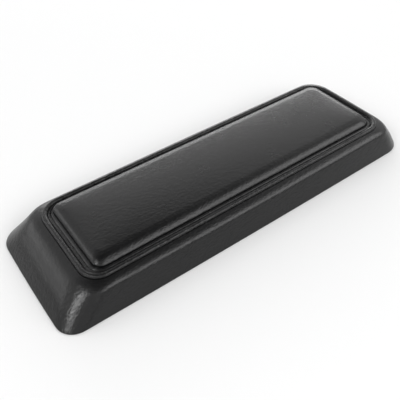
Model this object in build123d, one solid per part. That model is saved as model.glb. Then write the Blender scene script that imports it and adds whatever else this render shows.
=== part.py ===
from build123d import *
import os
from dataclasses import dataclass, replace

# Upholstered chair armrest pad, in millimetres.
# +X runs along the pad to its front end, +Y across it, +Z up.
# The origin is the centre of the underside, on the plane that the pad rests on.

# Base rectangle through the corners' tangents. The bow adds to it at each side.
LENGTH = 260.0
WIDTH = 88.5
BOW = 0.6             # how far each base edge bulges out at its middle

# Heights above the underside
HEM = 1.6             # turned-in hem of the skirt skin
COVER = 1.6           # bottom cover plate, level with the hem
BOARD_LOW = 1.7       # core board, plywood a little under 13 mm
POCKET_FLOOR = 10.8
INSERT_TOP = 16.3     # top of the board inside the cushion
KNEE_Z = 7.6          # where the skirt's slope eases
SKIN_KNEE_Z = 7.2
SHOULDER_Z = (12.8, 14.6, 15.9)       # start, middle and end of the shoulder's round
BEVEL = 12.2          # top of the board's long bevel
BOARD_TOP = 14.5
FLANGE_Z = 16.1       # top of the skin's flange, which the welt lies on
CREASE_Z = 17.05      # thin edge of the skin beside the welt
WELT_Z = 17.6         # centre of the welt's round bead
TAIL_TOP = 17.3       # top of the welt's flat tail, the floor of the groove
CROWN_Z = 24.0

# Soft materials
VINYL = 1.0           # thickness of the cushion's cover
WELT_R = 1.5
LIP = 0.5             # rolled lip around the cushion's foot
CORD_R = 0.9
GAP = 0.1             # between pieces that are packed face to face
SEAT_GAP = 0.4        # between the cushion's plug and its pocket
COVER_GAP = 0.5       # between the bottom cover and the hem around it
COVER_EDGE = 0.5      # chamfer of the bottom cover

# Fasteners
NUT_X, NUT_Y = 50.0, 20.0          # M6 T-nuts, half spacings
NUT_BORE_R, NUT_BARREL_R, NUT_FLANGE_R = 2.5, 3.9, 9.0
NUT_FLANGE = 1.2
NUT_LOW = 2.4
PRONG = (1.0, 3.0, 5.0)
BOLT_ACCESS_R = 5.0
SCREW_R, SCREW_HEAD_R, SCREW_HEAD, SCREW_POINT_R = 1.4, 2.8, 1.6, 0.3
RECESS = (3.2, 0.7, 0.9)           # one bar of the screw's cross recess
COVER_SCREW_TIP = 9.5
INSERT_SCREW_TIP = 15.0
WIRE = 0.7                         # staple wire, square
STAPLE_CROWN = 8.0
HEM_STAPLE_LEG, RIM_STAPLE_LEG, CUSHION_STAPLE_LEG = 5.5, 6.0, 4.0
SMALLEST_CORNER = 2.0
HEM_STAPLE_COUNT = (7, 2)          # on each side and on each end
RIM_STAPLE_COUNT = (7, 2)
CUSHION_STAPLE_COUNT = (5, 1)
COVER_SCREW_X, COVER_SCREW_Y = (-100.0, 0.0, 100.0), (-26.0, 26.0)
INSERT_SCREW_X, INSERT_SCREW_Y = (-82.0, 82.0), (-10.0, 10.0)


@dataclass(frozen=True)
class Ring:
    """Rounded rectangle, set in from the overall size at the sides, rear end and front end."""

    side: float
    rear: float
    front: float
    corner: float
    bow: float = 0.0

    def inset(self, by):
        corner = max(self.corner - by, SMALLEST_CORNER)
        return replace(self, side=self.side + by, rear=self.rear + by, front=self.front + by, corner=corner)

    def ends(self):
        """X of the rear and front edges, and Y of the far side."""
        return -LENGTH / 2 + self.rear, LENGTH / 2 - self.front, WIDTH / 2 - self.side

    def face(self, z):
        rear, front, half = self.ends()
        corners = [(rear, -half), (front, -half), (front, half), (rear, half)]
        outward = [(0, -1), (1, 0), (0, 1), (-1, 0)]
        edges = []
        for start, end, (out_x, out_y) in zip(corners, corners[1:] + corners[:1], outward):
            middle_x = (start[0] + end[0]) / 2 + out_x * self.bow
            middle_y = (start[1] + end[1]) / 2 + out_y * self.bow
            if self.bow:
                edges.append(ThreePointArc(start, (middle_x, middle_y), end))
            else:
                edges.append(Line(start, end))
        sketch = make_face(edges)
        return Pos(0, 0, z) * fillet(sketch.vertices(), self.corner)

    def prism(self, low, high):
        return extrude(self.face(low), high - low)


# Outlines of the pad from the base inwards. The rear end slopes most.
BASE = Ring(0.0, 0.0, 0.0, 15.0, BOW)
KNEE = Ring(3.0, 7.0, 4.8, 11.8, BOW)
SHOULDERS = (
    Ring(5.6, 13.0, 8.5, 10.0, BOW),
    Ring(6.7, 15.5, 9.8, 9.0, BOW / 2),
    Ring(7.8, 17.7, 11.0, 9.5, BOW / 2),
)
CREASE = Ring(10.5, 21.3, 13.2, 11.5)
WELT_LINE = Ring(12.1, 23.2, 14.8, 10.8)
CUSHION_LIP = Ring(14.9, 26.8, 18.5, 7.5)
CUSHION_FOOT = Ring(16.0, 29.0, 21.1, 6.5)
POCKET = Ring(20.2, 32.4, 25.0, 5.0)
HEM_EDGE = Ring(13.0, 18.0, 14.5, 9.0)

# The cushion above its foot: ring, height, and how far its cover's thickness goes inwards and downwards
CUSHION_LEVELS = (
    (Ring(16.2, 29.1, 21.2, 5.8), 19.2, 1.0, 0.1),
    (Ring(16.6, 29.5, 21.6, 5.4), 20.0, 0.9, 0.4),
    (Ring(17.6, 30.3, 22.5, 4.8), 20.9, 0.7, 0.7),
    (Ring(19.0, 31.6, 23.7, 4.5), 21.8, 0.5, 0.9),
    (Ring(22.5, 34.6, 27.0, 4.5), 22.8, 0.2, 1.0),
    (Ring(29.0, 42.0, 34.0, 6.0), 23.6, 0.0, 1.0),
    (Ring(36.5, 52.0, 44.0, 6.0), CROWN_Z, 0.0, 1.0),
)

# Horizontal thickness of the skirt skin where the wall slopes: side, rear, front
SKIN_BASE = Ring(BASE.side + 1.7, BASE.rear + 2.3, BASE.front + 1.9, 13.3, BOW)
SKIN_KNEE = Ring(KNEE.side + 1.6, KNEE.rear + 2.0, KNEE.front + 1.7, 10.2, BOW)
SKIN_SHOULDER = Ring(7.0, 14.7, 9.9, 8.6, BOW)
SKIN_RIM = Ring(8.6, 18.4, 11.9, 8.8)

# Core board: bottom edge, top of its main bevel, and top edge
BOARD_BASE = Ring(4.5, 6.0, 5.0, 10.5)
BOARD_BEVEL = Ring(9.5, 17.5, 12.5, 6.5)
BOARD_CREST = Ring(11.3, 21.0, 14.6, 8.0)

# Lines that the staples follow, and the cushion cover's hem under its board
HEM_STAPLE_LINE = Ring(10.0, 14.5, 11.5, 6.0)
RIM_STAPLE_LINE = Ring(18.0, 30.6, 23.0, 6.0)
CUSHION_STAPLE_LINE = POCKET.inset(6.0)
CUSHION_HEM_EDGE = POCKET.inset(9.0)


def stack(*levels):
    """Solid that passes straight from one (ring, z) to the next."""
    return loft([ring.face(z) for ring, z in levels], ruled=True)


def staple(leg, up):
    """Staple with its crown along X: the crown's outer face is at z = 0 and the legs point up or down."""
    sign = 1 if up else -1
    crown = Pos(0, 0, sign * WIRE / 2) * Box(STAPLE_CROWN, WIRE, WIRE)
    legs = [
        Pos(x, 0, sign * leg / 2) * Box(WIRE, WIRE, leg)
        for x in (-(STAPLE_CROWN - WIRE) / 2, (STAPLE_CROWN - WIRE) / 2)
    ]
    return crown + legs


def staples_along(ring, z, count, leg, up):
    """Separate staples laid along a ring, so many on each side and on each end."""
    rear, front, half = ring.ends()
    along, across = count
    placed = []
    for i in range(along):
        x = rear + (front - rear) * (i + 1) / (along + 1)
        placed += [Pos(x, y, z) * staple(leg, up) for y in (-half, half)]
    for i in range(across):
        y = -half + 2 * half * (i + 1) / (across + 1)
        placed += [Pos(x, y, z) * Rot(0, 0, 90) * staple(leg, up) for x in (rear, front)]
    return placed


def t_nut():
    """T-nut whose threaded barrel opens downwards, with four prongs under its flange."""
    flange_low = POCKET_FLOOR - NUT_FLANGE
    nut = Pos(0, 0, POCKET_FLOOR - NUT_FLANGE / 2) * Cylinder(NUT_FLANGE_R, NUT_FLANGE)
    nut += Pos(0, 0, (NUT_LOW + flange_low) / 2) * Cylinder(NUT_BARREL_R, flange_low - NUT_LOW)
    thick, wide, long = PRONG
    for angle in range(0, 360, 90):
        prong = Pos(NUT_FLANGE_R - thick, 0, flange_low - long / 2) * Box(thick, wide, long)
        nut += Rot(0, 0, angle) * prong
    middle = (NUT_LOW + POCKET_FLOOR) / 2
    return nut - Pos(0, 0, middle) * Cylinder(NUT_BORE_R, POCKET_FLOOR - NUT_LOW)


def screw(head_z, tip_z):
    """Countersunk wood screw driven upwards, with its flat head at head_z and a cross recess."""
    head = Pos(0, 0, head_z + SCREW_HEAD / 2) * Cone(SCREW_HEAD_R, SCREW_R, SCREW_HEAD)
    shank_low, shank_high = head_z + SCREW_HEAD, tip_z - 2 * SCREW_R
    shank = Pos(0, 0, (shank_low + shank_high) / 2) * Cylinder(SCREW_R, shank_high - shank_low)
    point = Pos(0, 0, (shank_high + tip_z) / 2) * Cone(SCREW_R, SCREW_POINT_R, tip_z - shank_high)
    body = head + shank + point
    long, wide, deep = RECESS
    for angle in (0, 90):
        body -= Pos(0, 0, head_z + deep / 2) * Rot(0, 0, angle) * Box(long, wide, deep)
    return body


def screw_hole(head_z, tip_z):
    """Space that a screw fills, without its recess, with a mouth a little deeper than its head."""
    mouth = Pos(0, 0, head_z - GAP / 2) * Cylinder(SCREW_HEAD_R, GAP)
    head = Pos(0, 0, head_z + SCREW_HEAD / 2) * Cone(SCREW_HEAD_R, SCREW_R, SCREW_HEAD)
    return mouth + head + Pos(0, 0, (head_z + tip_z) / 2) * Cylinder(SCREW_R, tip_z - head_z)


def at(places, solid):
    return [Pos(x, y, 0) * solid for x, y in places]


# Places of the fasteners
nut_places = [(x, y) for x in (-NUT_X, NUT_X) for y in (-NUT_Y, NUT_Y)]
cover_screw_places = [(x, y) for x in COVER_SCREW_X for y in COVER_SCREW_Y]
insert_screw_places = [(x, y) for x in INSERT_SCREW_X for y in INSERT_SCREW_Y]

hem_staples = staples_along(HEM_STAPLE_LINE, GAP, HEM_STAPLE_COUNT, HEM_STAPLE_LEG, True)
rim_staples = staples_along(RIM_STAPLE_LINE, TAIL_TOP - GAP, RIM_STAPLE_COUNT, RIM_STAPLE_LEG, False)
cushion_staples = staples_along(
    CUSHION_STAPLE_LINE, POCKET_FLOOR + GAP, CUSHION_STAPLE_COUNT, CUSHION_STAPLE_LEG, True
)
t_nuts = at(nut_places, t_nut())
cover_screws = at(cover_screw_places, screw(GAP, COVER_SCREW_TIP))
insert_screws = at(insert_screw_places, screw(BOARD_LOW + GAP, INSERT_SCREW_TIP))

cover_screw_holes = at(cover_screw_places, screw_hole(GAP, COVER_SCREW_TIP))
insert_screw_holes = at(insert_screw_places, screw_hole(BOARD_LOW + GAP, INSERT_SCREW_TIP))
bolt_access = at(nut_places, Pos(0, 0, COVER / 2) * Cylinder(BOLT_ACCESS_R, COVER))
barrel_holes = at(nut_places, Pos(0, 0, POCKET_FLOOR / 2) * Cylinder(NUT_BARREL_R, POCKET_FLOOR))
nut_sinks = at(nut_places, Pos(0, 0, POCKET_FLOOR - NUT_FLANGE / 2) * Cylinder(NUT_FLANGE_R, NUT_FLANGE))


def make_core_board():
    board = stack((BOARD_BASE, BOARD_LOW), (BOARD_BEVEL, BEVEL), (BOARD_CREST, BOARD_TOP))
    board -= POCKET.prism(POCKET_FLOOR, BOARD_TOP)
    board = board - barrel_holes - nut_sinks - t_nuts
    board = board - insert_screw_holes - cover_screw_holes
    return board - hem_staples - rim_staples


def make_skirt_foam():
    foam = stack(
        (SKIN_BASE.inset(GAP), BOARD_LOW),
        (SKIN_KNEE.inset(GAP), SKIN_KNEE_Z),
        (SKIN_SHOULDER.inset(GAP), BEVEL),
        (SKIN_RIM.inset(GAP), BOARD_TOP),
    )
    return foam - stack(
        (BOARD_BASE.inset(-GAP), BOARD_LOW),
        (BOARD_BEVEL.inset(-GAP), BEVEL),
        (BOARD_CREST.inset(-GAP), BOARD_TOP),
    )


def make_skirt_skin():
    """Skirt, rounded shoulder, and a flange sunk below the shoulder's thin edge."""
    skin = stack((BASE, 0), (KNEE, KNEE_Z), *zip(SHOULDERS, SHOULDER_Z), (CREASE, CREASE_Z))
    skin -= SKIN_BASE.prism(HEM, BOARD_LOW)
    skin -= stack(
        (SKIN_BASE, BOARD_LOW),
        (SKIN_KNEE, SKIN_KNEE_Z),
        (SKIN_SHOULDER, BEVEL),
        (SKIN_RIM, BOARD_TOP),
    )
    skin -= SKIN_RIM.prism(BOARD_TOP, BOARD_TOP + GAP)
    skin -= HEM_EDGE.prism(0, HEM)
    skin -= CREASE.prism(FLANGE_Z, CREASE_Z)
    skin -= POCKET.prism(BOARD_TOP, FLANGE_Z)
    return skin - hem_staples - rim_staples


def make_welt():
    """The welt's cover with its flat tail, and the cord inside it."""
    line = WELT_LINE.face(WELT_Z).face().outer_wire()
    section = Plane(origin=line @ 0, z_dir=line % 0)
    cord = sweep(section * Circle(CORD_R), line)
    tube = sweep(section * Circle(WELT_R), line)
    tail = WELT_LINE.prism(FLANGE_Z, TAIL_TOP) - POCKET.prism(FLANGE_Z, TAIL_TOP)
    return tube + tail - cord - rim_staples, cord


def cushion_shape(skin, low, foot):
    """Cushion body under a skin of that thickness: a plug for the pocket, and a wider crowned top."""
    levels = [(CUSHION_FOOT.inset(skin), foot)]
    for ring, z, inwards, downwards in CUSHION_LEVELS:
        levels.append((ring.inset(skin * inwards), z - skin * downwards))
    return stack(*levels) + POCKET.inset(SEAT_GAP + skin).prism(low, foot)


def make_cushion():
    """The cushion's cover, its foam, and the insert board that the cover is wrapped around."""
    low, foot = POCKET_FLOOR + GAP / 2, TAIL_TOP + GAP
    board_low, board_high = low + VINYL + GAP, INSERT_TOP
    cover = cushion_shape(0, low, foot) + CUSHION_LIP.prism(foot, foot + LIP)
    cover -= cushion_shape(VINYL, low + VINYL, foot + VINYL)
    cover -= CUSHION_HEM_EDGE.prism(low, low + VINYL)
    foam = cushion_shape(VINYL + GAP, board_high + GAP, foot + VINYL + GAP)
    board = POCKET.inset(SEAT_GAP + VINYL + GAP).prism(board_low, board_high)
    return cover - cushion_staples, foam, board - cushion_staples - insert_screw_holes


def make_bottom_cover():
    outline = HEM_EDGE.inset(COVER_GAP)
    plate = outline.prism(0, COVER)
    plate = chamfer(plate.faces().sort_by(Axis.Z)[0].edges(), COVER_EDGE)
    return plate - bolt_access - cover_screw_holes


def main():
    welt_cover, welt_cord = make_welt()
    cushion_cover, cushion_foam, insert_board = make_cushion()
    nodes = {
        "skirt_skin": make_skirt_skin(),
        "skirt_foam": make_skirt_foam(),
        "welt_cover": welt_cover,
        "welt_cord": welt_cord,
        "cushion_cover": cushion_cover,
        "cushion_foam": cushion_foam,
        "insert_board": insert_board,
        "core_board": make_core_board(),
        "bottom_cover": make_bottom_cover(),
        "mounting_t_nuts": Compound(children=t_nuts),
        "hem_staples": Compound(children=hem_staples),
        "rim_staples": Compound(children=rim_staples),
        "cushion_staples": Compound(children=cushion_staples),
        "insert_screws": Compound(children=insert_screws),
        "cover_screws": Compound(children=cover_screws),
    }
    os.makedirs("parts", exist_ok=True)
    for name, shape in nodes.items():
        export_step(shape, f"parts/{name}.step")


main()
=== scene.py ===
import math

import bpy
import numpy as np
from mathutils import Matrix, Vector


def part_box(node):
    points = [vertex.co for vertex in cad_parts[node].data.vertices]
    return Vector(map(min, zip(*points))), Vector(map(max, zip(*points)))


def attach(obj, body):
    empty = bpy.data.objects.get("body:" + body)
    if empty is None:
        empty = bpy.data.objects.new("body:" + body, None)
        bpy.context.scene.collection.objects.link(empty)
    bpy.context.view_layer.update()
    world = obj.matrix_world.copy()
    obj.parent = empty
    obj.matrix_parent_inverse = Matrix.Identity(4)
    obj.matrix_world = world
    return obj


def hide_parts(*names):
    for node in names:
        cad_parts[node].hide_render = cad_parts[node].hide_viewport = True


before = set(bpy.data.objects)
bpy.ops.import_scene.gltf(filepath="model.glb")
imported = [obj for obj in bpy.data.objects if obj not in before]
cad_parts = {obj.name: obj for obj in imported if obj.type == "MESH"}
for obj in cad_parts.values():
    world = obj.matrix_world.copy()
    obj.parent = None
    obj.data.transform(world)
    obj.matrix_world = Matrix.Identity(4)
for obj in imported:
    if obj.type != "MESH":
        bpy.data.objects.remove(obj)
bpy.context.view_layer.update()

MM = 0.001
BOW = 0.6       # how far each edge of the base bulges out at its middle
skirt_low, skirt_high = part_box("skirt_skin")

# Rectangle under the base's bulging edges. Insets below are millimetres in from it.
REAR_X, FRONT_X = skirt_low.x / MM + BOW, skirt_high.x / MM - BOW
HALF_Y = skirt_high.y / MM - BOW

# ---------------------------------------------------------------- ring geometry
# A profile is a line of corners. Each corner gives (inset, z) at the sides, at the rear
# end and at the front end, the plan radii of its four corners (near rear, near front, far
# front, far rear), how far back along the profile its own rounding starts, and how far the
# edges bow outward.

ALONG, ACROSS, TURN = 64, 20, 8       # cuts along a side, across an end, round a corner


def rounded_profile(corners, arc_steps=4, run_steps=3, closed=True):
    """Rounds each corner of a profile with a short curve and cuts the runs between into equal shares."""
    points = [np.array([*side, *rear, *front, *radii, bow]) for side, rear, front, radii, bow, _ in corners]
    cuts = [corner[-1] for corner in corners]
    count = len(points)
    arcs = []
    for i, point in enumerate(points):
        if not closed and i in (0, count - 1):
            arcs.append([point])
            continue
        before, after = points[i - 1] - point, points[(i + 1) % count] - point
        start = point + before * min(cuts[i] / np.hypot(*before[:2]), 0.48)
        end = point + after * min(cuts[i] / np.hypot(*after[:2]), 0.48)
        arc = []
        for t in np.linspace(0, 1, arc_steps + 1):
            arc.append(start * (1 - t) ** 2 + point * 2 * t * (1 - t) + end * t * t)
        arcs.append(arc)
    out = []
    for i, arc in enumerate(arcs):
        out += arc
        if closed or i < count - 1:
            gap = arcs[(i + 1) % count][0] - arc[-1]
            steps = run_steps if np.hypot(*gap[:2]) > 1.0 else 1
            out += [arc[-1] + gap * step / steps for step in range(1, steps)]
    return out


def ring_points(ring):
    """One ring of the pad, counter-clockwise from the rear of the near side, in millimetres."""
    side_in, side_z, rear_in, rear_z, front_in, front_z = ring[:6]
    near_rear, near_front, far_front, far_rear, bow = ring[6:]
    rear, front, half = REAR_X + rear_in, FRONT_X - front_in, HALF_Y - side_in
    middle_x, half_x = (rear + front) / 2, (front - rear) / 2
    points = []

    def add(x, y, end_z, share):
        along, across = (x - middle_x) / half_x, y / half
        x, y = x + bow * (1 - across * across) * along, y + bow * (1 - along * along) * across
        points.append((x, y, side_z + (end_z - side_z) * share))

    def corner(centre_x, centre_y, radius, from_angle, end_z, end_first):
        for step in range(TURN):
            angle = from_angle + math.pi / 2 * step / TURN
            share = math.sin(math.pi / 2 * step / TURN) ** 2
            x, y = centre_x + radius * math.cos(angle), centre_y + radius * math.sin(angle)
            add(x, y, end_z, 1 - share if end_first else share)

    def straight(start_x, start_y, stop_x, stop_y, count, end_z, share):
        for step in range(count):
            part = step / count
            add(start_x + (stop_x - start_x) * part, start_y + (stop_y - start_y) * part, end_z, share)

    straight(rear + near_rear, -half, front - near_front, -half, ALONG, front_z, 0)
    corner(front - near_front, -half + near_front, near_front, -math.pi / 2, front_z, False)
    straight(front, -half + near_front, front, half - far_front, ACROSS, front_z, 1)
    corner(front - far_front, half - far_front, far_front, 0, front_z, True)
    straight(front - far_front, half, rear + far_rear, half, ALONG, rear_z, 0)
    corner(rear + far_rear, half - far_rear, far_rear, math.pi / 2, rear_z, False)
    straight(rear, half - far_rear, rear, -half + near_rear, ACROSS, rear_z, 1)
    corner(rear + near_rear, -half + near_rear, near_rear, math.pi, rear_z, True)
    return points


STATIONS = 2 * (ALONG + ACROSS + 2 * TURN)


def new_object(name, vertices, faces, smoothed=True):
    mesh = bpy.data.meshes.new(name)
    mesh.from_pydata([Vector(v) * MM for v in vertices], [], faces)
    mesh.validate()
    mesh.shade_smooth()
    piece = bpy.data.objects.new(name, mesh)
    bpy.context.scene.collection.objects.link(piece)
    if smoothed:
        subdivision = piece.modifiers.new("smooth", "SUBSURF")
        subdivision.levels = 1
        subdivision.render_levels = 1
    return piece


def bands(loops):
    """Vertices and faces of closed bands that follow the pad's outline, each with its own section."""
    vertices, faces = [], []
    for profile in loops:
        first = len(vertices)
        vertices += [point for ring in profile for point in ring_points(ring)]
        for row in range(len(profile)):
            low, high = first + row * STATIONS, first + (row + 1) % len(profile) * STATIONS
            for i in range(STATIONS):
                j = (i + 1) % STATIONS
                faces.append((low + i, low + j, high + j, high + i))
    return vertices, faces


def ring_piece(name, *loops):
    return new_object(name, *bands(loops))


# ---------------------------------------------------------------- cushion
CROWN_RIM = ((22.5, 22.8), (34.6, 22.8), (27.7, 22.8))     # where the cushion's edge meets its crown
CROWN_RISE = 1.05       # millimetres that the crown rises over that edge before it is swollen
FOAM_SOFTNESS = 7.0     # how far in from the rim the cover's pull on the foam dies away
FOAM_DEPTH = 1.3        # from the top of the cover to the top of its foam
SWELL_FRAMES = 20
SWELL_MOST = 0.35       # millimetres that the cloth simulation may add


def crown_height(x, y):
    """Height that a cover stretched over foam rises above its rim."""
    (side, _), (rear, _), (front, _) = CROWN_RIM
    half_x, middle_x = (FRONT_X - front - REAR_X - rear) / 2, (FRONT_X - front + REAR_X + rear) / 2
    across = 1 - math.cosh(y / FOAM_SOFTNESS) / math.cosh((HALF_Y - side) / FOAM_SOFTNESS)
    along = 1 - math.cosh((x - middle_x) / FOAM_SOFTNESS) / math.cosh(half_x / FOAM_SOFTNESS)
    return CROWN_RISE * max(across, 0) * max(along, 0)


def patch(ring):
    """Grid that fills a ring, and for its edge points the number of the ring's own point."""
    wide, deep = ALONG + TURN, ACROSS + TURN
    start = -TURN // 2
    near = [(start + i) % STATIONS for i in range(wide + 1)]
    right = [(start + wide + i) % STATIONS for i in range(deep + 1)]
    far = [(start + 2 * wide + deep - i) % STATIONS for i in range(wide + 1)]
    left = [(start - i) % STATIONS for i in range(deep + 1)]
    ring = np.array(ring)
    u, v = np.linspace(0, 1, wide + 1)[None, :, None], np.linspace(0, 1, deep + 1)[:, None, None]
    across = (1 - v) * ring[near][None] + v * ring[far][None]
    along = (1 - u) * ring[left][:, None] + u * ring[right][:, None]
    near_line = (1 - u) * ring[near[0]] + u * ring[near[-1]]
    far_line = (1 - u) * ring[far[0]] + u * ring[far[-1]]
    grid = across + along - (1 - v) * near_line - v * far_line
    shared = {}
    for column in range(wide + 1):
        shared[0, column] = near[column]
        shared[deep, column] = far[column]
    for row in range(deep + 1):
        shared[row, 0] = left[row]
        shared[row, wide] = right[row]
    return grid, shared


def fill(vertices, faces, first, ring, height, upward):
    """Fills the ring whose points start at `first` with a grid, raised by height(x, y)."""
    grid, shared = patch(ring)
    index = {}
    for row, line in enumerate(grid):
        for column, (x, y, z) in enumerate(line):
            if (row, column) in shared:
                index[row, column] = first + shared[row, column]
            else:
                index[row, column] = len(vertices)
                vertices.append((x, y, z + height(x, y)))
    for row in range(len(grid) - 1):
        for column in range(len(grid[0]) - 1):
            corners = (row, column), (row, column + 1), (row + 1, column + 1), (row + 1, column)
            face = tuple(index[corner] for corner in corners)
            faces.append(face if upward else face[::-1])


def crowned_piece(name, profile, floor=False):
    """Cushion form: an open profile of rings, a crown over the last one and, if asked, a flat floor."""
    rings = [ring_points(ring) for ring in profile]
    vertices = [point for ring in rings for point in ring]
    faces = []
    for row in range(len(rings) - 1):
        low, high = row * STATIONS, (row + 1) * STATIONS
        for i in range(STATIONS):
            j = (i + 1) % STATIONS
            faces.append((low + i, low + j, high + j, high + i))
    fill(vertices, faces, (len(rings) - 1) * STATIONS, rings[-1], crown_height, True)
    if floor:
        fill(vertices, faces, 0, rings[0], lambda x, y: 0.0, False)
    return new_object(name, vertices, faces)


# ---------------------------------------------------------------- profiles
HEM = 1.6             # thickness of the skirt's turned-in hem
FLANGE_Z = 16.1       # sunk flat that the welt lies on
SKIN = 1.5            # thickness of the skirt's skin under that flat
GROOVE_Z = 17.35      # top of the welt's tail, the floor of the groove
SMOOTH = 9.0          # a cut this long rounds a corner over the whole of both its runs


def level(side, rear, front, radii, cut, bow=0.0):
    """One corner of a profile. Two radii stand for the rear and front corners of a level that is even."""
    if len(radii) == 2:
        radii = radii[0], radii[1], radii[1], radii[0]
    return side, rear, front, radii, bow, cut


def make_skirt():
    """Sloped skirt with a rounded shoulder, a thin edge beside the welt, and a hem turned in below."""
    under = FLANGE_Z - SKIN
    corners = [
        level((13.0, 0.0), (18.0, 0.0), (14.5, 0.0), (9.0, 9.0), 0.3),
        level((0.0, 0.0), (0.0, 0.0), (0.0, 0.0), (10.5, 16.0, 16.0, 13.0), 0.8, BOW),
        level((3.0, 7.4), (7.0, 7.9), (4.8, 7.7), (14.5, 13.0, 13.0, 16.5), 2.6, BOW),
        level((6.05, 14.4), (13.6, 13.4), (9.0, 14.0), (15.5, 12.5), 1.0, BOW),
        level((7.65, 15.95), (17.6, 16.05), (10.9, 16.1), (14.5, 13.5, 15.0, 14.0), 1.3, BOW / 2),
        level((10.4, 17.35), (21.65, 17.3), (14.4, 17.2), (11.6, 13.6, 16.6, 13.6), 0.3),
        level((10.65, FLANGE_Z), (22.0, FLANGE_Z), (14.7, FLANGE_Z), (11.2, 13.2, 16.2, 13.2), 0.1),
        level((20.2, FLANGE_Z), (32.4, FLANGE_Z), (25.0, FLANGE_Z), (5.0, 5.0), 0.2),
        level((20.2, under), (32.4, under), (25.0, under), (5.0, 5.0), 0.2),
        level((9.0, under), (18.9, under), (12.2, under), (10.0, 9.5), 0.8),
        level((7.3, 12.2), (15.0, 12.2), (10.2, 12.2), (8.0, 10.5), 1.2, BOW),
        level((4.7, 7.2), (9.0, 7.2), (6.6, 7.2), (11.5, 11.5), 2.0, BOW),
        level((2.1, HEM), (2.8, HEM), (2.4, HEM), (11.0, 14.0), 0.5, BOW),
        level((13.0, HEM), (18.0, HEM), (14.5, HEM), (9.0, 9.0), 0.3),
    ]
    piece = ring_piece("skirt", rounded_profile(corners))
    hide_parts("skirt_skin")
    return piece


def make_skirt_foam():
    """Foam between the skin and the bevelled board, a little clear of both."""
    corners = [
        level((4.3, 1.9), (5.8, 1.9), (4.8, 1.9), (10.5, 11.0), 0.3),
        level((2.4, 1.9), (3.1, 1.9), (2.7, 1.9), (11.0, 13.5), 0.6, BOW),
        level((5.0, 7.2), (9.4, 7.2), (6.9, 7.2), (11.0, 11.5), 2.0, BOW),
        level((7.6, 12.1), (15.3, 12.1), (10.5, 12.1), (8.0, 10.0), 1.2, BOW),
        level((9.2, 14.4), (19.0, 14.4), (12.4, 14.4), (9.5, 9.0), 0.6),
        level((11.1, 14.4), (20.8, 14.4), (14.4, 14.4), (8.0, 8.0), 0.3),
        level((9.3, 12.2), (17.3, 12.2), (12.3, 12.2), (6.6, 6.6), 0.4),
    ]
    piece = ring_piece("skirt_padding", rounded_profile(corners, arc_steps=2, run_steps=2))
    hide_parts("skirt_foam")
    return piece


WELT_CENTRE, WELT_RADIUS = (12.05, 23.5, 16.0), (1.65, 1.85, 1.6)     # at the sides, the rear, the front
WELT_CORNERS = (10.0, 12.0, 15.0, 12.0)
WELT_Z = 17.6
WELT_LOW = FLANGE_Z + 0.03      # flat underside of the bead and its tail
CORD_RADIUS = 0.9
CHANNEL_GAP = 0.12      # room around the cord in its channel


def bead_level(angle, radii, cut):
    """Level on the welt's round section, at an angle from the inward side."""
    places = []
    for middle, radius in zip(WELT_CENTRE, radii):
        height = max(WELT_Z + radius * math.sin(angle), WELT_LOW)
        places.append((middle + radius * math.cos(angle), height))
    out = -math.cos(angle) * radii[0]
    return level(*places, tuple(corner + out for corner in WELT_CORNERS), cut)


def make_welt():
    """Round bead with a channel for its cord, and a flat tail that runs in under the cushion's lip."""
    corners = [bead_level(angle, WELT_RADIUS, 0.25) for angle in np.radians(np.linspace(262, 0, 13))]
    corners += [
        level((14.2, GROOVE_Z), (25.6, GROOVE_Z), (17.9, GROOVE_Z), (8.5, 10.0, 13.0, 10.0), 0.4),
        level((20.2, GROOVE_Z), (32.4, GROOVE_Z), (25.0, GROOVE_Z), (5.0, 5.0), 0.1),
        level((20.2, WELT_LOW), (32.4, WELT_LOW), (25.0, WELT_LOW), (5.0, 5.0), 0.1),
        level((12.6, WELT_LOW), (23.9, WELT_LOW), (16.4, WELT_LOW), (9.5, 11.5, 14.5, 11.5), 0.1),
    ]
    bore = (CORD_RADIUS + CHANNEL_GAP,) * 3
    channel = [bead_level(angle, bore, 0.2) for angle in np.radians(range(0, 360, 30))]
    loops = [rounded_profile(corners, arc_steps=2, run_steps=2), rounded_profile(channel, arc_steps=1)]
    piece = ring_piece("welt", *loops)
    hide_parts("welt_cover")
    return piece


def make_welt_cord():
    """Three-strand filler cord inside the bead: its strands wind once round in every lay length."""
    strands, lay, around, step = 3, 7.0, 18, 0.7
    valley, ridge = CORD_RADIUS - 0.12, 0.1
    inset = [(place, WELT_Z) for place in WELT_CENTRE]
    line = np.array(ring_points((*inset[0], *inset[1], *inset[2], *WELT_CORNERS, 0.0)))
    ahead = np.roll(line, -1, axis=0)
    lengths = np.linalg.norm(ahead - line, axis=1)
    reached = np.concatenate([[0], np.cumsum(lengths)])
    closed = np.vstack([line, line[:1]])
    count = int(reached[-1] / step)
    turns = round(reached[-1] / lay)
    along = np.arange(count) / count * reached[-1]
    centres = np.column_stack([np.interp(along, reached, closed[:, axis]) for axis in range(3)])
    heading = np.roll(centres, -1, axis=0) - np.roll(centres, 1, axis=0)
    heading /= np.linalg.norm(heading, axis=1)[:, None]
    outward = np.column_stack([heading[:, 1], -heading[:, 0], heading[:, 2] * 0])
    vertices, faces = [], []
    for i in range(count):
        twist = 2 * math.pi * turns * i / count
        for k in range(around):
            angle = 2 * math.pi * k / around
            radius = valley + ridge * abs(math.cos(strands / 2 * (angle - twist)))
            place = centres[i] + outward[i] * radius * math.cos(angle)
            vertices.append((place[0], place[1], place[2] + radius * math.sin(angle)))
            here, following = i * around, (i + 1) % count * around
            faces.append((here + k, following + k, following + (k + 1) % around, here + (k + 1) % around))
    piece = new_object("welt_filler_cord", vertices, faces, smoothed=False)
    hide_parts("welt_cord")
    return piece


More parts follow.
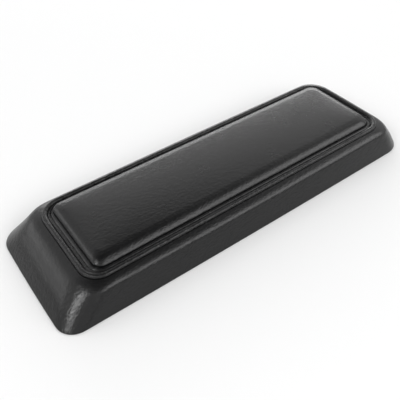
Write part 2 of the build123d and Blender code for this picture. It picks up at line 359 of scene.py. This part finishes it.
def make_cushion():
    """Cushion cover: a plug in the pocket, a thin lip around the foot, rounded sides and a crown."""
    foot = GROOVE_Z + 0.1
    radii = (4.5, 6.5, 5.5, 4.5)
    corners = [
        level((29.0, 11.0), (41.2, 11.0), (33.8, 11.0), (3.0, 3.0), 0.2),
        level((20.7, 11.0), (32.9, 11.0), (25.5, 11.0), (4.6, 4.6), 0.6),
        level((20.7, foot), (32.9, foot), (25.5, foot), (4.6, 4.6), 0.5),
        level((14.5, foot), (26.9, foot), (18.9, foot), (8.0, 7.0), 0.15),
        level((15.25, foot + 0.6), (28.2, foot + 0.95), (20.3, foot + 0.75), (7.6, 6.6), 0.5),
        level((15.75, foot + 0.4), (28.75, foot + 0.9), (21.6, foot + 0.6), (7.0, 6.0), 0.25),
        level((15.85, 18.5), (28.85, 18.5), (21.85, 18.5), (6.5, 7.0), SMOOTH),
        level((16.3, 19.7), (29.1, 19.8), (22.2, 19.9), (5.5, 7.0, 6.0, 5.5), SMOOTH),
        level((19.05, 22.05), (31.3, 21.95), (24.2, 21.95), radii, SMOOTH),
        level(*CROWN_RIM, radii, SMOOTH),
    ]
    piece = crowned_piece("cushion", rounded_profile(corners, arc_steps=5, closed=False))
    swell(piece)
    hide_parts("cushion_cover")
    return piece


def make_cushion_foam():
    """Foam on the insert board, under the cover."""
    low, foot, radii = 16.5, 18.7, (3.6, 3.4)
    (side, top), (rear, _), (front, _) = CROWN_RIM
    top -= FOAM_DEPTH
    corners = [
        level((22.0, low), (34.2, low), (26.8, low), (3.8, 3.8), 0.3),
        level((22.0, foot), (34.2, foot), (26.8, foot), (3.8, 3.8), 0.3),
        level((17.6, foot), (30.5, foot), (22.6, foot), radii, 0.5),
        level((17.8, 19.6), (30.7, 19.6), (22.8, 19.6), radii, 0.8),
        level((20.0, 20.9), (32.6, 20.9), (24.9, 20.9), radii, 1.5),
        level((side + 0.5, top), (rear + 0.5, top), (front + 0.5, top), radii, 0.5),
    ]
    profile = rounded_profile(corners, arc_steps=2, closed=False)
    piece = crowned_piece("cushion_padding", profile, floor=True)
    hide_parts("cushion_foam")
    return piece


def swell(piece):
    """Lets the cover bulge as cloth over its foam, held at the rim, and keeps a share of the bulge."""
    mesh = piece.data
    held = piece.vertex_groups.new(name="held")
    rim_z = max(z for _, z in CROWN_RIM) * MM + 1e-6
    held.add([v.index for v in mesh.vertices if v.co.z < rim_z], 1.0, "REPLACE")
    smooth = piece.modifiers[0]
    smooth.show_viewport = False
    cloth = piece.modifiers.new("cover", "CLOTH")
    cloth.settings.quality = 6
    cloth.settings.mass = 0.2
    cloth.settings.tension_stiffness = 15
    cloth.settings.compression_stiffness = 15
    cloth.settings.bending_stiffness = 0.5
    cloth.settings.use_pressure = True
    cloth.settings.uniform_pressure_force = 4.0
    cloth.settings.vertex_group_mass = held.name
    cloth.settings.effector_weights.gravity = 0.0
    cloth.point_cache.frame_end = SWELL_FRAMES
    scene = bpy.context.scene
    for step in range(1, SWELL_FRAMES + 1):
        scene.frame_set(step)
    settled = piece.evaluated_get(bpy.context.evaluated_depsgraph_get()).data
    start = np.array([v.co for v in mesh.vertices])
    moved = np.array([v.co for v in settled.vertices]) - start
    largest = np.linalg.norm(moved, axis=1).max()
    share = min(SWELL_MOST * MM / largest, 1.0)
    mesh.vertices.foreach_set("co", (start + moved * share).ravel())
    mesh.update()
    piece.modifiers.remove(cloth)
    piece.vertex_groups.remove(held)
    smooth.show_viewport = True
    scene.frame_set(1)


# ---------------------------------------------------------------- materials
BLACK = (0.0025, 0.0025, 0.0027)
STEEL_NODES = (
    "mounting_t_nuts", "hem_staples", "rim_staples", "cushion_staples", "insert_screws", "cover_screws"
)


def grey(value):
    return (value, value, value, 1.0)


def material(name):
    made = bpy.data.materials.new(name)
    made.use_nodes = True
    tree = made.node_tree
    shader = tree.nodes["Principled BSDF"]
    return made, tree, shader


def noise(nodes, link, scale, stretch=(1, 1, 1), detail=4.0, distortion=0.0):
    """Noise in the object's own space, drawn out along an axis where stretch is under 1."""
    place = nodes.new("ShaderNodeTexCoord").outputs["Object"]
    mapping = nodes.new("ShaderNodeMapping")
    mapping.inputs["Scale"].default_value = stretch
    texture = nodes.new("ShaderNodeTexNoise")
    texture.inputs["Scale"].default_value = scale
    texture.inputs["Detail"].default_value = detail
    texture.inputs["Distortion"].default_value = distortion
    link(place, mapping.inputs["Vector"])
    link(mapping.outputs["Vector"], texture.inputs["Vector"])
    return texture.outputs["Fac"]


def vinyl(name, colour, roughness, grain_mm=1.3, depth_mm=0.05):
    """Moulded black vinyl: fine drawn-out grain, pores, and a little variation in tone and polish."""
    made, tree, shader = material(name)
    nodes, link = tree.nodes, tree.links.new
    coarse = noise(nodes, link, 1 / (grain_mm * MM), (0.55, 1.0, 1.0), 2.0, 0.8)
    fine = noise(nodes, link, 2200, detail=3.0)
    broad = noise(nodes, link, 60)

    hills = nodes.new("ShaderNodeValToRGB")
    hills.color_ramp.elements[0].position = 0.35
    hills.color_ramp.elements[1].position = 0.65
    link(coarse, hills.inputs["Fac"])
    grain = nodes.new("ShaderNodeBump")
    grain.inputs["Strength"].default_value = 1.0
    grain.inputs["Distance"].default_value = depth_mm * MM
    link(hills.outputs["Color"], grain.inputs["Height"])
    pores = nodes.new("ShaderNodeBump")
    pores.inputs["Strength"].default_value = 0.6
    pores.inputs["Distance"].default_value = depth_mm * 0.4 * MM
    link(fine, pores.inputs["Height"])
    link(grain.outputs["Normal"], pores.inputs["Normal"])
    link(pores.outputs["Normal"], shader.inputs["Normal"])

    tone = nodes.new("ShaderNodeValToRGB")
    tone.color_ramp.elements[0].position = 0.3
    tone.color_ramp.elements[0].color = (*[c * 0.82 for c in colour], 1)
    tone.color_ramp.elements[1].position = 0.75
    tone.color_ramp.elements[1].color = (*[c * 1.15 for c in colour], 1)
    link(broad, tone.inputs["Fac"])
    link(tone.outputs["Color"], shader.inputs["Base Color"])

    polish = nodes.new("ShaderNodeMapRange")
    polish.inputs["To Min"].default_value = roughness - 0.05
    polish.inputs["To Max"].default_value = roughness + 0.07
    link(broad, polish.inputs["Value"])
    link(polish.outputs["Result"], shader.inputs["Roughness"])
    shader.inputs["Specular IOR Level"].default_value = 0.40
    return made


def textured(name, dark, light, roughness, scale, stretch=(1, 1, 1), depth_mm=0.03, metallic=0.0):
    """Material whose colour and roughness follow one noise, and whose relief follows a finer one."""
    made, tree, shader = material(name)
    nodes, link = tree.nodes, tree.links.new
    broad = noise(nodes, link, scale, stretch)
    fine = noise(nodes, link, scale * 9, stretch, 2.0)
    tone = nodes.new("ShaderNodeValToRGB")
    tone.color_ramp.elements[0].position = 0.3
    tone.color_ramp.elements[0].color = (*dark, 1)
    tone.color_ramp.elements[1].position = 0.7
    tone.color_ramp.elements[1].color = (*light, 1)
    link(broad, tone.inputs["Fac"])
    link(tone.outputs["Color"], shader.inputs["Base Color"])
    wear = nodes.new("ShaderNodeMapRange")
    wear.inputs["To Min"].default_value = max(roughness - 0.1, 0.05)
    wear.inputs["To Max"].default_value = min(roughness + 0.1, 1.0)
    link(broad, wear.inputs["Value"])
    link(wear.outputs["Result"], shader.inputs["Roughness"])
    relief = nodes.new("ShaderNodeBump")
    relief.inputs["Distance"].default_value = depth_mm * MM
    link(fine, relief.inputs["Height"])
    link(relief.outputs["Normal"], shader.inputs["Normal"])
    shader.inputs["Metallic"].default_value = metallic
    return made


def plywood():
    """Birch plywood: long grain on its faces, and plies in turn light and dark on its edges."""
    made, tree, shader = material("plywood")
    nodes, link = tree.nodes, tree.links.new
    grain = noise(nodes, link, 300, (0.05, 1, 1))
    plies = nodes.new("ShaderNodeTexWave")
    plies.bands_direction = "Z"
    plies.inputs["Scale"].default_value = 110
    plies.inputs["Distortion"].default_value = 0.3
    link(nodes.new("ShaderNodeTexCoord").outputs["Object"], plies.inputs["Vector"])
    mixed = nodes.new("ShaderNodeMath")
    mixed.operation = "MULTIPLY_ADD"
    mixed.inputs[1].default_value = 0.35
    link(plies.outputs["Fac"], mixed.inputs[0])
    link(grain, mixed.inputs[2])
    tone = nodes.new("ShaderNodeValToRGB")
    tone.color_ramp.elements[0].position = 0.35
    tone.color_ramp.elements[0].color = (0.34, 0.22, 0.11, 1)
    tone.color_ramp.elements[1].position = 0.85
    tone.color_ramp.elements[1].color = (0.62, 0.46, 0.28, 1)
    link(mixed.outputs["Value"], tone.inputs["Fac"])
    link(tone.outputs["Color"], shader.inputs["Base Color"])
    fuzz = nodes.new("ShaderNodeMapRange")
    fuzz.inputs["To Min"].default_value = 0.55
    fuzz.inputs["To Max"].default_value = 0.8
    link(grain, fuzz.inputs["Value"])
    link(fuzz.outputs["Result"], shader.inputs["Roughness"])
    relief = nodes.new("ShaderNodeBump")
    relief.inputs["Distance"].default_value = 0.04 * MM
    link(grain, relief.inputs["Height"])
    link(relief.outputs["Normal"], shader.inputs["Normal"])
    return made


def paint(piece, made):
    piece.data.materials.clear()
    piece.data.materials.append(made)


def paint_node(name, made):
    """Gives a CAD node the material in every one of its slots."""
    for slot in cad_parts[name].material_slots:
        slot.material = made


def open_cell_foam():
    return textured("open_cell_foam", (0.50, 0.47, 0.38), (0.68, 0.66, 0.57), 0.85, 700, depth_mm=0.25)


def cotton_cord():
    return textured("cotton_cord", (0.55, 0.52, 0.46), (0.80, 0.78, 0.72), 0.9, 900, depth_mm=0.08)


def cover_plastic():
    return textured("cover_plastic", (0.018, 0.018, 0.019), (0.034, 0.034, 0.036), 0.5, 500)


def zinc_plate():
    return textured("zinc_plate", (0.46, 0.46, 0.45), (0.66, 0.65, 0.61), 0.32, 260, (1, 1, 0.2), 0.01, 1.0)


def finish_hidden_parts(skirt_foam, cord, cushion_foam):
    foam = open_cell_foam()
    for piece in (skirt_foam, cushion_foam):
        paint(piece, foam)
    paint(cord, cotton_cord())
    wood = plywood()
    for name in ("core_board", "insert_board"):
        paint_node(name, wood)
    paint_node("bottom_cover", cover_plastic())
    zinc = zinc_plate()
    for name in STEEL_NODES:
        paint_node(name, zinc)


# ---------------------------------------------------------------- light, floor and camera
def area_light(name, direction, distance, size, power):
    """Rectangular lamp that faces the pad. Distance and size are in metres, and power is in watts."""
    data = bpy.data.lights.new(name, "AREA")
    data.shape = "RECTANGLE"
    data.size, data.size_y = size
    data.energy = power
    lamp = bpy.data.objects.new(name, data)
    lamp.location = Vector(direction).normalized() * distance
    lamp.rotation_euler = (-lamp.location).to_track_quat("-Z", "Y").to_euler()
    bpy.context.scene.collection.objects.link(lamp)


def make_lights():
    area_light("front_softbox", (0.42, -0.76, 0.56), 1.3, (1.8, 0.50), 8.4)
    area_light("back_panel", (0.45, 0.72, 0.68), 1.5, (1.6, 0.45), 1.0)
    area_light("low_back_panel", (0.47, 0.82, 0.21), 1.5, (1.9, 0.35), 8.2)
    area_light("rear_panel", (-0.70, 0.66, 0.34), 1.5, (1.0, 0.35), 1.8)
    area_light("left_softbox", (-0.80, -0.17, 0.66), 1.2, (0.17, 0.3), 3.3)


def make_world():
    """Studio tent: bright walls that fade to a dim roof. Radiance against the sine of the elevation."""
    world = bpy.data.worlds.new("studio")
    bpy.context.scene.world = world
    world.use_nodes = True
    nodes, link = world.node_tree.nodes, world.node_tree.links.new
    background = nodes["Background"]
    background.inputs["Strength"].default_value = 2.0
    place = nodes.new("ShaderNodeTexCoord")
    split = nodes.new("ShaderNodeSeparateXYZ")
    ramp = nodes.new("ShaderNodeValToRGB")
    link(place.outputs["Generated"], split.inputs["Vector"])
    link(split.outputs["Z"], ramp.inputs["Fac"])
    link(ramp.outputs["Color"], background.inputs["Color"])
    stops = (
        (0.0, 0.14), (0.14, 0.34), (0.35, 0.50), (0.57, 0.48), (0.70, 0.54), (0.77, 0.46), (0.83, 0.28),
        (0.90, 0.15), (1.0, 0.06)
    )
    elements = ramp.color_ramp.elements
    elements[0].position, elements[0].color = stops[0][0], grey(stops[0][1])
    elements[1].position, elements[1].color = stops[-1][0], grey(stops[-1][1])
    for position, value in stops[1:-1]:
        elements.new(position).color = grey(value)


def make_floor():
    size, drop = 3.0, 0.0002
    mesh = bpy.data.meshes.new("floor")
    corners = [(-size, -size, -drop), (size, -size, -drop), (size, size, -drop), (-size, size, -drop)]
    mesh.from_pydata(corners, [], [(0, 1, 2, 3)])
    floor = bpy.data.objects.new("floor", mesh)
    bpy.context.scene.collection.objects.link(floor)
    made, _, shader = material("pale_floor")
    shader.inputs["Base Color"].default_value = grey(0.83)
    shader.inputs["Roughness"].default_value = 0.7
    paint(floor, made)


def make_camera():
    """Camera at the view's angle: where the pad's origin lies in front of it is in millimetres."""
    azimuth, pitch, roll = math.radians(35.77), math.radians(44.51), math.radians(-0.87)
    right_of, above, ahead = 12.15, 9.08, 332.04
    ahead_x, ahead_y = math.sin(azimuth) * math.cos(pitch), math.cos(azimuth) * math.cos(pitch)
    forward = Vector((ahead_x, ahead_y, -math.sin(pitch)))
    sideways = Vector((math.cos(azimuth), -math.sin(azimuth), 0))
    upright = sideways.cross(forward)
    right = sideways * math.cos(roll) + upright * math.sin(roll)
    up = upright * math.cos(roll) - sideways * math.sin(roll)
    data = bpy.data.cameras.new("camera")
    data.lens, data.sensor_width = 46.26, 36.0
    data.clip_start = 0.01
    camera = bpy.data.objects.new("camera", data)
    place = -(right * right_of + up * above + forward * ahead) * MM
    camera.matrix_world = Matrix.Translation(place) @ Matrix((right, up, -forward)).transposed().to_4x4()
    bpy.context.scene.collection.objects.link(camera)
    bpy.context.scene.camera = camera


def main():
    bpy.context.scene.view_settings.view_transform = "Standard"
    skirt, welt, cushion = make_skirt(), make_welt(), make_cushion()
    skirt_foam, cord, cushion_foam = make_skirt_foam(), make_welt_cord(), make_cushion_foam()
    paint(skirt, vinyl("skirt_vinyl", BLACK, 0.24))
    paint(welt, vinyl("welt_vinyl", BLACK, 0.26, grain_mm=1.0, depth_mm=0.10))
    paint(cushion, vinyl("cushion_vinyl", BLACK, 0.25))
    for piece in (skirt, welt, cushion, skirt_foam, cord, cushion_foam):
        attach(piece, "root")
    finish_hidden_parts(skirt_foam, cord, cushion_foam)
    make_world()
    make_lights()
    make_floor()
    make_camera()


main()
